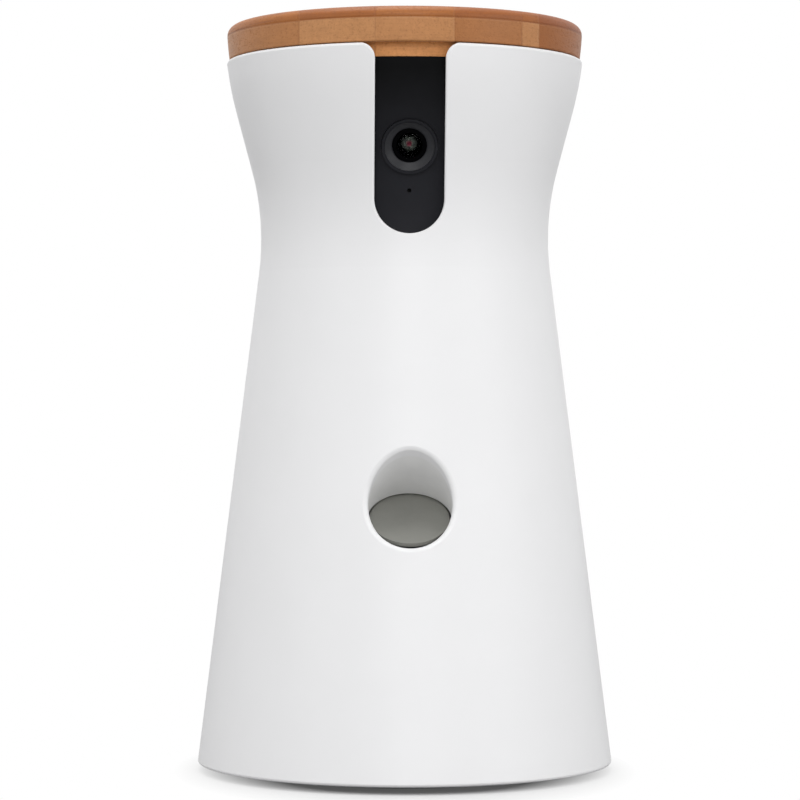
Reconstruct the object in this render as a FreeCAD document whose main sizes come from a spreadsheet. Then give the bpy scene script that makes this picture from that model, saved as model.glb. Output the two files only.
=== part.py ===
"""Treat tossing pet camera: a parametric FreeCAD document, one object per piece, in millimetres.

The origin is the middle of the underside, +Z is up and the front (camera and treat hole) faces -Y.
The body is an hourglass whose plan is an ellipse. Treats drop from the hopper through a six-pocket
wheel and a chute onto a sprung paddle, which a partial gear cocks and lets go.
"""

import FreeCAD, Part
import math
import os
import re

import Sketcher

Vector = FreeCAD.Vector
Rotation = FreeCAD.Rotation

DIMENSIONS = {
    # hourglass casing: half-widths are along X, depths are depth_ratio times as much
    "depth_ratio": 1.21,
    "shell_z": 2.0,
    "foot_round": 0.8,
    "wall": 2.6,
    "lean": 7.15,
    "neck_half": 43.2,
    "neck_z": 159.0,
    "neck_radius": 80.0,
    "flare": 15.0,
    "flare_z": 197.0,
    "flare_radius": 110.0,
    "rim_z": 212.5,
    "rim_round": 0.8,
    # lid
    "lid_gap": 0.3,
    "lid_top": 223.0,
    "ply_z": 219.6,
    "lid_round": 2.8,
    "lid_edge": 0.5,
    "lid_inset": 0.8,
    "plug_z": 208.7,
    "plug_half": 49.8,
    # camera slot and its black panel
    "slot_half": 10.1,
    "slot_foot_z": 158.7,
    "slot_corner": 4.5,
    "slot_lip": 0.5,
    "panel_inset": 2.9,
    "panel_thick": 1.9,
    "panel_half": 13.0,
    "lens_z": 183.5,
    "microphone_z": 171.1,
    "bezel_radius": 8.1,
    "bezel_bore": 7.2,
    "bezel_proud": 1.0,
    "barrel_radius": 4.95,
    "lens_bore": 3.7,
    "board_back": 14.0,
    "sound_hole": 0.6,
    "camera_half_x": 13.0,
    "camera_half_z": 14.5,
    "camera_screw": 0.8,
    "camera_screw_x": 11.0,
    "camera_screw_z": 12.5,
    # treat hole and launch tube
    "hole_z": 83.4,
    "tube_radius": 12.0,
    "tube_wall": 1.6,
    "tube_rise": 38.0,
    "hole_lip": 1.3,
    # tossing paddle, in its own frame: u along the plate, n square to it, pivot at 0, 0
    "pivot_y": -56.2,
    "pivot_z": 60.5,
    "paddle_rest": 33.4,
    "paddle_reach": 11.4,
    "paddle_height": 12.2,
    "paddle_half": 11.45,
    "paddle_length": 12.45,
    "paddle_thick": 1.2,
    "rib_x": 6.0,
    "rib_thick": 2.5,
    "paddle_pin": 1.5,
    "paddle_bush": 2.5,
    "hub_radius": 3.4,
    "stop_pin": 1.2,
    "bumper_radius": 2.2,
    "bumper_length": 3.0,
    "stop_pin_length": 8.2,
    "stop_distance": 10.0,
    "stop_angle": -40.0,
    "tail_angle": -62.0,
    # gears
    "pressure": 20.0,
    "backlash": 0.5,
    "gear_gap": 0.25,
    "toss_module": 1.0,
    "toss_teeth": 30,
    "toss_face": 5.0,
    "toss_line": -27.0,
    "toss_pin": 2.0,
    "toss_bush": 3.2,
    "drive_module": 0.8,
    "drive_teeth": 48,
    "pinion_teeth": 12,
    "drive_x": 18.5,
    "drive_face": 4.0,
    "wheel_module": 1.0,
    "wheel_teeth": 60,
    # mechanism frame
    "plate_x": 14.0,
    "plate_thick": 2.5,
    "plate_top": 66.0,
    "ear_inset": 4.0,
    "ear_thick": 2.5,
    "front_ear_y": -37.5,
    "back_ear_y": -0.5,
    "motor_radius": 10.0,
    "motor_pin": 1.25,
    "motor_collar": 3.5,
    "motor_screw_z": 6.5,
    "shaft_gap": 0.05,
    # feeding wheel and hopper
    "wheel_y": 6.0,
    "wheel_z": 132.0,
    "wheel_height": 17.0,
    "wheel_face": 5.0,
    "face_step": 0.2,
    "wheel_radius": 30.0,
    "pocket_radius": 8.0,
    "pocket_ring": 18.0,
    "pocket_count": 6,
    "chamber_bore": 31.6,
    "chamber_wall": 2.0,
    "chamber_z": 129.0,
    "floor_thick": 2.6,
    "shield_z": 150.0,
    "shield_thick": 1.6,
    "hopper_half": 40.0,
    "hopper_depth": 38.0,
    "hopper_y": 12.0,
    "deck_z": 204.0,
    "deck_thick": 2.0,
    "deck_half": 48.9,
    "chute_radius": 9.0,
    "chute_foot_y": -37.0,
    "chute_foot_z": 91.0,
    "guard_half": 14.4,
    "guard_wall": 1.6,
    "guard_front_y": -43.0,
    "guard_back_y": -25.6,
    "feed_motor_radius": 8.0,
    "feed_collar": 3.0,
    "feed_pin": 1.5,
    "wheel_pin": 3.0,
    "wheel_bush": 4.5,
    "seal_gap": 0.8,
    "seal_width": 3.4,
    # base
    "base_z": 1.2,
    "base_thick": 3.0,
    "base_half": 56.0,
    "light_half": 58.9,
    "ring_half": 48.4,
    "ring_width": 5.0,
    "boss_x": 36.5,
    "boss_y": 44.2,
    "boss_radius": 4.2,
    "base_screw": 1.25,
    "frame_screw": 1.1,
    "small_screw": 0.9,
    "frame_hole": 1.3,
    "small_hole": 1.0,
    "button_x": 34.0,
    "button_y": 12.0,
    "button_radius": 3.0,
    # electronics
    "board_y": 34.0,
    "board_half": 30.0,
    "board_foot": 8.0,
    "board_top": 90.0,
    "board_thick": 1.6,
    "board_screw_x": 25.0,
    "board_screw_z": 24.0,
    "power_screw_x": 10.0,
    "power_screw_y": 56.0,
    "power_thick": 1.4,
    "socket_z": 15.3,
    "socket_half": 6.2,
    "socket_rise": 3.6,
    "speaker_x": -34.2,
    "speaker_radius": 15.5,
    "cable_radius": 1.1,
    "cable_bend": 12.0,
}

doc = FreeCAD.newDocument("TreatTossingPetCamera")
sheet = doc.addObject("Spreadsheet::Sheet", "Dimensions")
for row, (alias, number) in enumerate(DIMENSIONS.items(), start=1):
    sheet.set(f"A{row}", alias)
    sheet.set(f"B{row}", str(number))
    sheet.setAlias(f"B{row}", alias)
doc.recompute()

nodes = []


# ---------------------------------------------------------------- expressions


def formula(text):
    """The expression text with each dimension's name pointed at the sheet."""

    def point(word):
        name = word.group(0)
        return f"Dimensions.{name}" if name in DIMENSIONS else name

    return re.sub(r"[a-z][a-z_0-9]*", point, text)


def value(text):
    """The number that an expression comes to."""
    result = sheet.evalExpression(formula(text))
    return float(getattr(result, "Value", result))


def bind(thing, **sizes):
    """Binds properties of a document object to expressions of the sheet."""
    for name, text in sizes.items():
        thing.setExpression(name, formula(text))


def place(thing, x="0", y="0", z="0", turn=None):
    """Puts an object at a bound point, turned by a fixed rotation."""
    spot = Vector(value(x), value(y), value(z))
    thing.Placement = FreeCAD.Placement(spot, turn or Rotation())
    for axis, text in zip("xyz", (x, y, z)):
        thing.setExpression(f"Placement.Base.{axis}", formula(text))
    return thing


def about_x(angle):
    return Rotation(Vector(1, 0, 0), value(angle))


ALONG_X = Rotation(Vector(0, 1, 0), 90)
ALONG_BACK = Rotation(Vector(1, 0, 0), -90)
ALONG_FRONT = Rotation(Vector(1, 0, 0), 90)
ALONG_DOWN = Rotation(Vector(1, 0, 0), 180)
LENGTHWISE = Rotation(Vector(0, 0, 1), 90)


# ---------------------------------------------------------------- primitives and booleans


def box(x, y, z):
    """A box over three (low, high) ranges."""
    solid = doc.addObject("Part::Box", "box")
    lows = [ends[0] for ends in (x, y, z)]
    spans = [f"({ends[1]}) - ({ends[0]})" for ends in (x, y, z)]
    bind(solid, Length=spans[0], Width=spans[1], Height=spans[2])
    return place(solid, *lows)


def rod(radius, length, x="0", y="0", z="0", turn=None):
    """A cylinder that starts at a point and runs along its turned axis."""
    solid = doc.addObject("Part::Cylinder", "rod")
    bind(solid, Radius=radius, Height=length)
    return place(solid, x, y, z, turn)


def cut(solid, *tools):
    result = doc.addObject("Part::Cut", "cut")
    result.Base = solid
    result.Tool = tools[0] if len(tools) == 1 else fuse(*tools)
    return result


def fuse(*solids):
    result = doc.addObject("Part::MultiFuse", "fuse")
    result.Shapes = list(solids)
    return result


def common(*solids):
    result = doc.addObject("Part::MultiCommon", "common")
    result.Shapes = list(solids)
    return result


def group(*solids):
    """Separate solids kept in one piece list, such as the screws of one kind."""
    result = doc.addObject("Part::Compound", "group")
    result.Links = list(solids)
    return result


def tube(outer, inner, length, x="0", y="0", z="0", turn=None):
    return cut(rod(outer, length, x, y, z, turn), rod(inner, length, x, y, z, turn))


def node(thing, name):
    """Marks an object as a finished piece and names it."""
    thing.Label = name
    nodes.append(thing)


# ---------------------------------------------------------------- sketches and features


def new_body(name):
    return doc.addObject("PartDesign::Body", name)


def new_sketch(body, plane="XY_Plane", offset="0"):
    """A sketch on one of the body's own origin planes, or parallel to it."""
    sketch = body.newObject("Sketcher::SketchObject", "sketch")
    face = [item for item in body.Origin.OriginFeatures if item.Role == plane][0]
    sketch.AttachmentSupport = [(face, "")]
    sketch.MapMode = "FlatFace"
    if offset != "0":
        sketch.AttachmentOffset = FreeCAD.Placement(Vector(0, 0, value(offset)), Rotation())
        sketch.setExpression("AttachmentOffset.Base.z", formula(offset))
    return sketch


def hold(sketch, kind, text, *where):
    """Adds a dimension to a sketch and binds it to an expression."""
    number = sketch.addConstraint(Sketcher.Constraint(kind, *where, value(text)))
    label = f"size_{number}"
    sketch.renameConstraint(number, label)
    sketch.setExpression(f"Constraints.{label}", formula(text))


def arc_between(start, end, radius, side):
    """An arc of a known radius, bulging left (1) or right (-1) of the way from start to end."""
    chord = end - start
    half = chord.Length / 2
    left = Vector(-chord.y, chord.x, 0).normalize()
    centre = (start + end) / 2 - left * side * math.sqrt(radius**2 - half**2)
    first, last = (end, start) if side > 0 else (start, end)
    angles = [math.atan2(point.y - centre.y, point.x - centre.x) for point in (first, last)]
    return Part.ArcOfCircle(Part.Circle(centre, Vector(0, 0, 1), radius), *angles)


def outline(sketch, points):
    """Draws a closed outline. Each point is (x, y), or (x, y, radius, side) where an arc leads to it."""
    spots = [Vector(value(point[0]), value(point[1]), 0) for point in points]
    leave = []
    reach = []
    count = len(points)
    for index in range(count):
        target = points[(index + 1) % count]
        start, end = spots[index], spots[(index + 1) % count]
        if len(target) == 4:
            edge = arc_between(start, end, value(target[2]), target[3])
            backwards = target[3] > 0
        else:
            edge = Part.LineSegment(start, end)
            backwards = False
        number = sketch.addGeometry(edge, False)
        leave.append((number, 2 if backwards else 1))
        reach.append((number, 1 if backwards else 2))
        if len(target) == 4:
            hold(sketch, "Radius", target[2], number)
    for index, point in enumerate(points):
        sketch.addConstraint(Sketcher.Constraint("Coincident", *reach[index - 1], *leave[index]))
        hold(sketch, "DistanceX", point[0], -1, 1, *leave[index])
        hold(sketch, "DistanceY", point[1], -1, 1, *leave[index])


def ring(sketch, radius, x="0", y="0"):
    """Draws a full circle."""
    centre = Vector(value(x), value(y), 0)
    number = sketch.addGeometry(Part.Circle(centre, Vector(0, 0, 1), value(radius)), False)
    hold(sketch, "Radius", radius, number)
    hold(sketch, "DistanceX", x, -1, 1, number, 3)
    hold(sketch, "DistanceY", y, -1, 1, number, 3)


def pad(body, sketch, length):
    feature = body.newObject("PartDesign::Pad", "pad")
    feature.Profile = sketch
    bind(feature, Length=length)
    body.Tip = feature


def pocket(body, sketch):
    """Cuts a sketch through the body along the sketch's normal."""
    before = body.Tip
    feature = body.newObject("PartDesign::Pocket", "pocket")
    feature.Profile = sketch
    feature.Type = 1
    feature.Reversed = True
    body.Tip = feature
    doc.recompute()
    if feature.Shape.Volume > before.Shape.Volume - 1e-3:
        raise SystemExit(f"a pocket of {body.Label} cuts nothing")
    return feature


def turned(name, points):
    """A round piece: an outline of (radius, height) points turned about its Z axis."""
    body = new_body(name)
    sketch = new_sketch(body, "XZ_Plane")
    outline(sketch, points)
    feature = body.newObject("PartDesign::Revolution", "revolution")
    feature.Profile = sketch
    feature.ReferenceAxis = (sketch, ["V_Axis"])
    feature.Angle = 360
    body.Tip = feature
    return body


def stretched(body):
    """The same body with its depth scaled, so that round plans become ellipses."""
    result = doc.addObject("Part::Scale", "stretched")
    result.Base = body
    result.Uniform = False
    result.XScale = 1
    result.ZScale = 1
    bind(result, YScale="depth_ratio")
    return result


def oval_plate(longer, shorter, y, low, high, turn=None):
    """A flat elliptical plate, longer along X unless it is turned."""
    edge = doc.addObject("Part::Ellipse", "edge")
    bind(edge, MajorRadius=longer, MinorRadius=shorter)
    place(edge, "0", y, low, turn)
    plate = doc.addObject("Part::Extrusion", "plate")
    plate.Base = edge
    plate.DirMode = "Custom"
    plate.Dir = Vector(0, 0, 1)
    plate.Solid = True
    bind(plate, LengthFwd=f"({high}) - ({low})")
    return plate


def flat_oval(half, low, high):
    """An elliptical plate with the casing's proportions, longer from front to back."""
    return oval_plate(f"depth_ratio * ({half})", half, "0", low, high, LENGTHWISE)


def oval_ring(outer, inner, low, high):
    """A flat elliptical ring; the tool for its opening is taller by 1 mm each way."""
    return cut(flat_oval(outer, low, high), flat_oval(inner, f"({low}) - 1", f"({high}) + 1"))


# ---------------------------------------------------------------- hourglass surface

FOOT_Z = "(shell_z + foot_round)"
LOW_X = "(neck_half + neck_radius * (1 - cos(lean)))"
LOW_Z = "(neck_z - neck_radius * sin(lean))"
HIGH_X = "(neck_half + neck_radius * (1 - cos(flare)))"
HIGH_Z = "(neck_z + neck_radius * sin(flare))"
FLARE_X = f"({HIGH_X} + (flare_z - {HIGH_Z}) * tan(flare))"


def lower_half(z):
    """Half-width of the casing below the neck."""
    return f"({LOW_X} + ({LOW_Z} - ({z})) * tan(lean))"


def flare_half(z):
    """Half-width of the casing on the straight flare above the neck."""
    return f"({HIGH_X} + (({z}) - {HIGH_Z}) * tan(flare))"


def rim_half(z):
    """Half-width of the casing on the rounded part above the flare."""
    sine = f"(sin(flare) - (({z}) - flare_z) / flare_radius)"
    return f"({FLARE_X} + flare_radius * (sqrt(1 - {sine}^2) - cos(flare)))"


def lid_half(z):
    """Half-width of the lid, which follows the casing's line a little further in."""
    return f"({rim_half(z)} - lid_inset)"


def flank(inset, top):
    """The casing's side from the foot to a height above the flare, moved in by an inset."""
    return [
        (f"{lower_half(FOOT_Z)} - {inset}", FOOT_Z),
        (f"{LOW_X} - {inset}", LOW_Z),
        (f"{HIGH_X} - {inset}", HIGH_Z, "neck_radius", 1),
        (f"{FLARE_X} - {inset}", "flare_z"),
        (f"{rim_half(top)} - {inset}", top, "flare_radius", -1),
    ]


def hourglass_core(inset, low="0", top="rim_z + 2"):
    """The solid inside the casing's surface moved in by an inset, open-ended below and above."""
    sides = flank(inset, top)
    foot = (f"{lower_half(FOOT_Z)} - {inset}", low)
    body = turned("core", [("0", low), foot, *sides, ("0", top)])
    return stretched(body)


def slot_prism(half, foot, top, corner, low, high):
    """A prism along Y with a half-round foot; a corner above 0 flares its open top outwards."""
    body = new_body("slot")
    sketch = new_sketch(body, "XZ_Plane", f"-({high})")
    centre = f"({foot}) + ({half})"
    head = [(half, top), (f"-({half})", top)]
    if corner != "0":
        head = [
            (half, f"({top}) - {corner}"),
            (f"({half}) + {corner}", top, corner, 1),
            (f"({half}) + {corner}", f"({top}) + 4"),
            (f"-({half}) - {corner}", f"({top}) + 4"),
            (f"-({half}) - {corner}", top),
            (f"-({half})", f"({top}) - {corner}", corner, 1),
        ]
    foot_arc = [(f"-({half})", centre), ("0", foot, half, -1), (half, centre, half, -1)]
    outline(sketch, head + foot_arc)
    pad(body, sketch, f"({high}) - ({low})")
    return body


# ---------------------------------------------------------------- gears


def half_gap(module, teeth, radius):
    """Half the angle of a tooth gap at a radius, from the involute of the pitch circle."""
    pitch = f"({module} * {teeth} / 2)"
    base = f"({pitch} * cos(pressure))"
    at_radius = f"acos({base} / ({radius}))"
    spread = f"((tan({at_radius}) - {at_radius} / 1rad) - (tan(pressure) - pressure * pi / 180)) * 180 / pi"
    return f"(90 / {teeth} + backlash * {module} * 6 / {teeth} + {spread})"


def gear(name, module, teeth, face, bore):
    """A spur gear about Z with a gap centred on +X: one involute gap cut from a disc, repeated."""
    pitch = f"({module} * {teeth} / 2)"
    tip = f"({pitch} + {module})"
    root = f"({pitch} - 1.25 * {module})"
    base = f"({pitch} * cos(pressure))"
    inner = root if value(root) > value(base) else base
    body = new_body(name)
    blank = new_sketch(body)
    ring(blank, tip)
    if bore != "0":
        ring(blank, bore)
    pad(body, blank, face)
    doc.recompute()

    def corner(radius, angle, side):
        return (f"{radius} * cos({angle})", f"{side} * {radius} * sin({angle})")

    angles = [half_gap(module, teeth, reach) for reach in (f"{inner} * 1.0001", pitch, tip)]
    radii = [root, pitch, tip, f"{tip} * 1.1"]
    angles.append(angles[-1])
    lower = [corner(radius, angle, "-1") for radius, angle in zip(radii, angles)]
    upper = [corner(radius, angle, "1") for radius, angle in zip(reversed(radii), reversed(angles))]
    sketch = new_sketch(body)
    outline(sketch, lower + upper)
    gap = pocket(body, sketch)
    pattern = body.newObject("PartDesign::PolarPattern", "teeth")
    pattern.Originals = [gap]
    pattern.Axis = (sketch, ["N_Axis"])
    pattern.Angle = 360
    bind(pattern, Occurrences=teeth)
    body.Tip = pattern
    return body


def face_x(direction):
    """Turns a gear's axis to X, with the gap that was on its own X pointing a way in the YZ plane."""
    return ALONG_X.multiply(Rotation(Vector(0, 0, 1), value(direction) + 90))


# ---------------------------------------------------------------- fasteners and springs


def screw(radius, head, length, x, y, z, turn=None):
    """A pan-head screw: its head's underside is at the point and its shank runs along its axis."""
    body = turned(
        "screw",
        [
            ("0.5", f"-0.7 * {radius}"),
            ("0.5", f"-1.3 * {radius}"),
            (f"{head} - 0.4", f"-1.3 * {radius}"),
            (head, "-0.5"),
            (head, "0"),
            (radius, "0"),
            (radius, f"{length} - {radius}"),
            ("0.2", length),
            ("0", length),
            ("0", f"-0.7 * {radius}"),
        ],
    )
    return place(body, x, y, z, turn)


def coil(name, radius, wire, pitch, length, x, y, z, turn=None):
    """A helical spring about its own Z axis."""
    body = new_body(name)
    sketch = new_sketch(body, "XZ_Plane")
    ring(sketch, wire, radius, "0")
    feature = body.newObject("PartDesign::AdditiveHelix", "helix")
    feature.Profile = sketch
    feature.ReferenceAxis = (sketch, ["V_Axis"])
    feature.Mode = 0
    bind(feature, Pitch=pitch, Height=length)
    body.Tip = feature
    return place(body, x, y, z, turn)


SIGNS = ("-1", "1")
FRAME_SCREW = ("frame_screw", "2 * frame_screw", "5.2")
SMALL_SCREW = ("small_screw", "1.7", "5.2")
DECK_SCREW_SPOTS = [(f"{side} * {x}", y) for x, y in (("35", "-38.9"), ("30.4", "44.8")) for side in SIGNS]
BASE_SCREW_SPOTS = [(f"{side} * boss_x", f"{end} * boss_y") for side in SIGNS for end in SIGNS]
frame_screws = []
small_screws = []


# ---------------------------------------------------------------- casing


TUBE_Y = f"(-depth_ratio * {lower_half('hole_z')})"
BASE_TOP = "(base_z + base_thick)"


def tube_rod(radius, back, front):
    """A rod along the launch tube's axis, from a length inside the hole to a length outside it."""
    turn = about_x("90 - tube_rise")
    return rod(
        radius,
        f"{back} + {front}",
        y=f"{TUBE_Y} + ({back}) * cos(tube_rise)",
        z=f"hole_z - ({back}) * sin(tube_rise)",
        turn=turn,
    )


ON_SKIN = 0.02


def rounded(solid, skin, bands):
    """Rounds the front edges that lie on a skin. Each band is (radius, lowest height, highest height)."""
    doc.recompute()
    surface = skin.Shape.Shells[0]
    reach = value("slot_half + slot_corner + 0.1")
    picks = []
    for number, edge in enumerate(solid.Shape.Edges, start=1):
        points = edge.discretize(7)
        if any(point.y > 0 or abs(point.x) > reach for point in points):
            continue
        for radius, low, high in bands:
            inside = all(value(low) < point.z < value(high) for point in points)
            if inside and all(surface.distToShape(Part.Vertex(point))[0] < ON_SKIN for point in points):
                picks.append((number, value(radius), value(radius)))
    result = doc.addObject("Part::Fillet", "rounded")
    result.Base = solid
    result.Edges = picks
    return result


def outer_shell():
    """Hourglass casing, open above and below, with the camera slot, treat hole and socket hole."""
    rounding = [
        ("0", "shell_z"),
        (f"{lower_half(FOOT_Z)} - foot_round", "shell_z"),
        (f"{lower_half(FOOT_Z)}", FOOT_Z, "foot_round", -1),
    ]
    rim_low = "(rim_z - rim_round)"
    sides = flank("0", rim_low)[1:]
    rim = [(f"{rim_half(rim_low)} - rim_round", "rim_z", "rim_round", -1), ("0", "rim_z")]
    outside = stretched(turned("outside", rounding + sides + rim))
    skin = cut(outside, hourglass_core("wall"))
    bosses = []
    for x, y in BASE_SCREW_SPOTS:
        bosses.append(tube("boss_radius", "base_screw", "9.5", x, y, BASE_TOP))
        low, high = ("-60", f"{x} - 2") if value(x) < 0 else (f"{x} + 2", "60")
        thick = (f"{y} - 1.2", f"{y} + 1.2")
        bosses.append(box((low, high), thick, ("5.9", f"{BASE_TOP} + 9")))
    for x, y in DECK_SCREW_SPOTS:
        bosses.append(tube("3.2", "frame_screw", "10", x, y, "deck_z - 10"))
    inside = stretched(turned("inside", [("0", "3"), *flank("1.3", "rim_z - 2"), ("0", "rim_z - 2")]))
    body = fuse(skin, common(fuse(*bosses), inside))
    slot = slot_prism("slot_half", "slot_foot_z", "rim_z", "slot_corner", "-80", "-40")
    hole = tube_rod("tube_radius", "12", "30")
    across = ("-socket_half", "socket_half")
    socket = box(across, ("60", "80"), ("socket_z - socket_rise", "socket_z + socket_rise"))
    bands = (
        ("hole_lip", "hole_z - 2 * tube_radius", "hole_z + 2 * tube_radius"),
        ("slot_lip", "slot_foot_z - 1", "rim_z - rim_round + 0.1"),
    )
    node(rounded(cut(body, slot, hole, socket), outside, bands), "outer_shell")


def mouth_plate(margin, low, high):
    """A plate with the hopper mouth's ellipse, larger by a margin."""
    return oval_plate(f"hopper_half + {margin}", f"hopper_depth + {margin}", "hopper_y", low, high)


def lid():
    """Bamboo lid of two plies, its plug inside the rim, and the silicone seal under the plug."""
    low = "(rim_z + lid_gap)"
    bottom = stretched(
        turned(
            "ply",
            [
                ("0", low),
                (f"{lid_half('rim_z')} - lid_edge", low),
                (lid_half("rim_z"), f"{low} + lid_edge", "lid_edge", -1),
                (lid_half("ply_z"), "ply_z", "flare_radius", -1),
                ("0", "ply_z"),
            ],
        )
    )
    node(bottom, "lid_lower_ply")
    side = lid_half("ply_z")
    top = stretched(
        turned(
            "ply",
            [
                ("0", "ply_z"),
                (side, "ply_z"),
                (side, "lid_top - lid_round"),
                (f"{side} - lid_round", "lid_top", "lid_round", -1),
                ("0", "lid_top"),
            ],
        )
    )
    node(top, "lid_upper_ply")
    node(flat_oval("plug_half", "plug_z", low), "lid_plug")
    seal = cut(
        mouth_plate("seal_width", "deck_z + deck_thick", "plug_z"),
        mouth_plate("seal_gap", "deck_z", "lid_top"),
    )
    node(seal, "lid_seal")


# ---------------------------------------------------------------- camera


PANEL_Y = f"(-depth_ratio * ({flare_half('lens_z')} - panel_inset))"
LENS_TILT = "(atan(depth_ratio * tan(flare)) / 1deg)"


def on_lens(thing, inward="0"):
    """Puts a piece made about Z on the lens axis, its Z pointing inwards from the panel's face."""
    turn = Rotation(Vector(1, 0, 0), value(f"{LENS_TILT} - 90"))
    y = f"{PANEL_Y} + ({inward}) * cos({LENS_TILT})"
    z = f"lens_z + ({inward}) * sin({LENS_TILT})"
    return place(thing, "0", y, z, turn)


def camera_panel():
    """Black panel behind the slot, following the flare, with the lens and microphone holes."""
    blank = slot_prism("panel_half", "slot_foot_z - 3", "plug_z", "0", "-75", "-30")
    front = hourglass_core("panel_inset", "100", "rim_z")
    back = hourglass_core("(panel_inset + panel_thick)", "99", "rim_z + 1")
    lens_hole = on_lens(rod("bezel_radius + 0.1", "20"), "-8")
    sound_hole = rod("sound_hole", "30", "0", "-70", "microphone_z", ALONG_BACK)
    node(cut(common(blank, front), back, lens_hole, sound_hole), "camera_panel")


def camera_optics():
    """Bezel, dished ring, barrel and front lens, all about the lens axis."""
    bezel = turned(
        "bezel",
        [
            ("bezel_bore", "-bezel_proud + 0.3"),
            ("bezel_bore + 0.2", "-bezel_proud"),
            ("bezel_radius - 0.2", "-bezel_proud"),
            ("bezel_radius", "-bezel_proud + 0.2"),
            ("bezel_radius", "3.4"),
            ("barrel_radius + 0.05", "3.4"),
            ("barrel_radius + 0.05", "2.6"),
            ("bezel_bore", "2.6"),
        ],
    )
    node(on_lens(bezel), "lens_bezel")
    dish = turned(
        "dish",
        [
            ("barrel_radius + 0.05", "1.3"),
            ("bezel_bore", "0"),
            ("bezel_bore", "2.6"),
            ("barrel_radius + 0.05", "2.6"),
        ],
    )
    node(on_lens(dish), "lens_ring")
    barrel = turned(
        "barrel",
        [
            ("lens_bore + 0.2", "0.9"),
            ("barrel_radius - 0.2", "0.9"),
            ("barrel_radius", "1.1"),
            ("barrel_radius", "9"),
            ("4.0", "9"),
            ("4.0", "12.5"),
            ("2.6", "12.5"),
            ("2.6", "4.6"),
            ("lens_bore", "4.6"),
            ("lens_bore", "1.5"),
        ],
    )
    node(on_lens(barrel), "lens_barrel")
    glass = turned(
        "glass",
        [("0", "0.5"), ("lens_bore", "1.6", "7", -1), ("lens_bore", "3.4"), ("0", "3.4")],
    )
    node(on_lens(glass), "front_lens")


def lens_box(half_x, half_z, low, high):
    """A block square to the lens axis, between two distances inward from the panel's face."""
    body = new_body("block")
    sketch = new_sketch(body, "XY_Plane", low)
    corners = (("-1", "-1"), ("1", "-1"), ("1", "1"), ("-1", "1"))
    outline(sketch, [(f"{a} * ({half_x})", f"{b} * ({half_z})") for a, b in corners])
    pad(body, sketch, f"({high}) - ({low})")
    return on_lens(body)


def lens_rod(radius, low, high, across, down):
    """A rod parallel to the lens axis, beside it and below it by two distances."""
    body = new_body("post")
    sketch = new_sketch(body, "XY_Plane", low)
    ring(sketch, radius, across, down)
    pad(body, sketch, f"({high}) - ({low})")
    return on_lens(body)


CAMERA_CORNERS = [(f"{a} * camera_screw_x", f"{b} * camera_screw_z") for a in SIGNS for b in SIGNS]


def camera_electronics():
    """Frame behind the panel, camera board with sensor and holder, infrared lights, microphone."""
    plate = lens_box("camera_half_x", "camera_half_z", "5.2", "6.6")
    inside = hourglass_core("(panel_inset + panel_thick)", "99", "rim_z + 1")
    spots = (("0", "-12.5"), ("-9.5", "8"), ("9.5", "8"))
    pads = [common(lens_rod("1.8", "1", "5.4", *spot), inside) for spot in spots]
    posts = [lens_rod("1.9", "6.5", "board_back", *corner) for corner in CAMERA_CORNERS]
    holes = [lens_rod("camera_screw", "8", "board_back + 1", *corner) for corner in CAMERA_CORNERS]
    bore = lens_rod("barrel_radius + 2.2", "5", "7", "0", "0")
    node(cut(fuse(plate, *pads, *posts), bore, *holes), "camera_frame")
    holder = cut(
        lens_box("6.5", "6.5", "9.2", "board_back"),
        lens_rod("4.0", "9", "board_back - 1.4", "0", "0"),
        lens_box("4", "4", "board_back - 1.5", "board_back + 1"),
    )
    node(holder, "lens_holder")
    sensor = lens_box("3.2", "2.6", "board_back - 1.0", "board_back")
    clear = "camera_screw + 0.1"
    eyes = [lens_rod(clear, "board_back - 1", "board_back + 2", *corner) for corner in CAMERA_CORNERS]
    board = lens_box("camera_half_x", "camera_half_z", "board_back", "board_back + 1.2")
    node(cut(board, *eyes), "camera_board")
    screws = []
    for across, down in CAMERA_CORNERS:
        turn = Rotation(Vector(1, 0, 0), value(f"{LENS_TILT} + 90"))
        inward = "(board_back + 1.2)"
        y = f"{PANEL_Y} + {inward} * cos({LENS_TILT}) + ({down}) * sin({LENS_TILT})"
        z = f"lens_z + {inward} * sin({LENS_TILT}) - ({down}) * cos({LENS_TILT})"
        screws.append(screw("camera_screw", "2 * camera_screw", "5", across, y, z, turn))
    node(group(*screws), "camera_screws")
    lights = [lens_rod("1.4", "8.2", "board_back", f"{side} * 9.6", "0") for side in SIGNS]
    node(group(sensor, *lights), "camera_components")
    rise = "((microphone_z - neck_z) / neck_radius)"
    half = f"(neck_half + neck_radius * (1 - sqrt(1 - {rise}^2)))"
    mic_y = f"(-depth_ratio * ({half} - panel_inset - panel_thick) + 0.7)"
    case_z = ("microphone_z - 1.6", "microphone_z + 1.6")
    body = cut(
        box(("-2.2", "2.2"), (mic_y, f"{mic_y} + 1.4"), case_z),
        rod("sound_hole", "2", "0", f"{mic_y} - 1", "microphone_z", ALONG_BACK),
    )
    node(body, "microphone")


# ---------------------------------------------------------------- hopper and feeding wheel


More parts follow.
